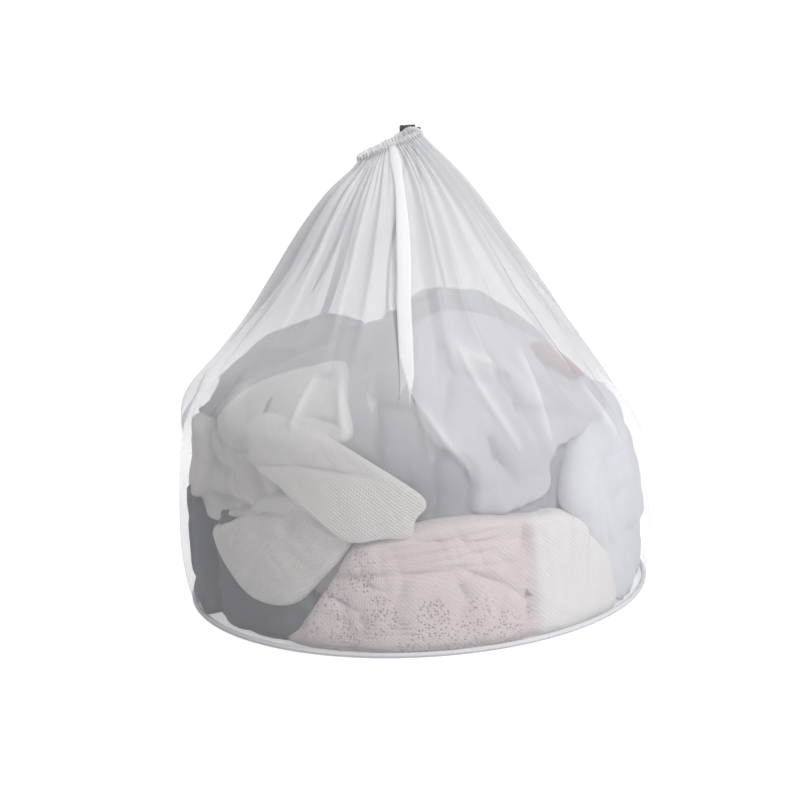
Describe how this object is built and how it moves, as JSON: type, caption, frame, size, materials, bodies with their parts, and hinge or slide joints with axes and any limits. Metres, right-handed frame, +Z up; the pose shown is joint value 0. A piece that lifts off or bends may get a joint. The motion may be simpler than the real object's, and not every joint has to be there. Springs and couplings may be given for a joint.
{
  "type": "mesh laundry bag",
  "caption": "Round fine-mesh drawstring laundry bag standing full of laundry, its gathered mouth closed by a cord and a spring cord lock.",
  "frame": {"origin": "centre of the round base, on the surface that the bag stands on", "axes": "+X to the bag's right seen from the front, +Y to its back, where the cord tails hang, +Z up"},
  "size_m": [0.4121, 0.4214, 0.3986],
  "materials": {
    "mesh": "fine white polyester mesh, sheer",
    "binding": "overlocked white polyester",
    "cord": "white braided polyester cord",
    "lock_plastic": "black moulded, fine texture",
    "spring_steel": "bright drawn wire",
    "pink_knit": "pale pink lace knit",
    "cream_knit": "cream ribbed knit",
    "grey_cloth": "blue-grey twill",
    "white_cotton": "crumpled white cotton",
    "white_terry": "white terry",
    "red_knit": "red knit",
    "grey_jersey": "grey jersey",
    "blue_denim": "washed denim",
    "grey_terry": "pale grey terry",
    "dark_knit": "charcoal knit"
  },
  "bodies": {
    "bag": {"mesh_wall": "mesh", "mesh_base": "mesh", "base_seam_binding": "binding", "back_seam_tape": "binding", "drawstring_casing": "mesh", "cord_exit_buttonhole": "binding", "drawstring": "cord", "drawstring_tail_left": "cord", "drawstring_tail_right": "cord", "tail_knot_left": "cord", "tail_knot_right": "cord", "laundry_lace_knit": "pink_knit", "laundry_cream_sweater": "cream_knit", "laundry_grey_trousers": "grey_cloth", "laundry_white_shirt": "white_cotton", "laundry_white_towel": "white_terry", "laundry_red_sock": "red_knit", "laundry_grey_hoodie": "grey_jersey", "laundry_blue_jeans": "blue_denim", "laundry_bath_towel": "grey_terry", "laundry_dark_pullover": "dark_knit", "laundry_cotton_sheet": "white_cotton"},
    "cord_lock": {"cord_lock_barrel": "lock_plastic", "cord_lock_spring": "spring_steel"},
    "lock_button": {"cord_lock_plunger": "lock_plastic"}
  },
  "joints": [
    {"name": "lock_slide", "type": "slide", "parent": "bag", "child": "cord_lock", "axis": [0, 0.9659, -0.2588], "range_m": [0, 0.012]},
    {"name": "button_press", "type": "slide", "parent": "cord_lock", "child": "lock_button", "axis": [-1, 0, 0], "range_m": [0, 0.003], "stiffness_N_per_m": 900, "springref_m": -0.002, "deforming": ["cord_lock_spring"]}
  ]
}
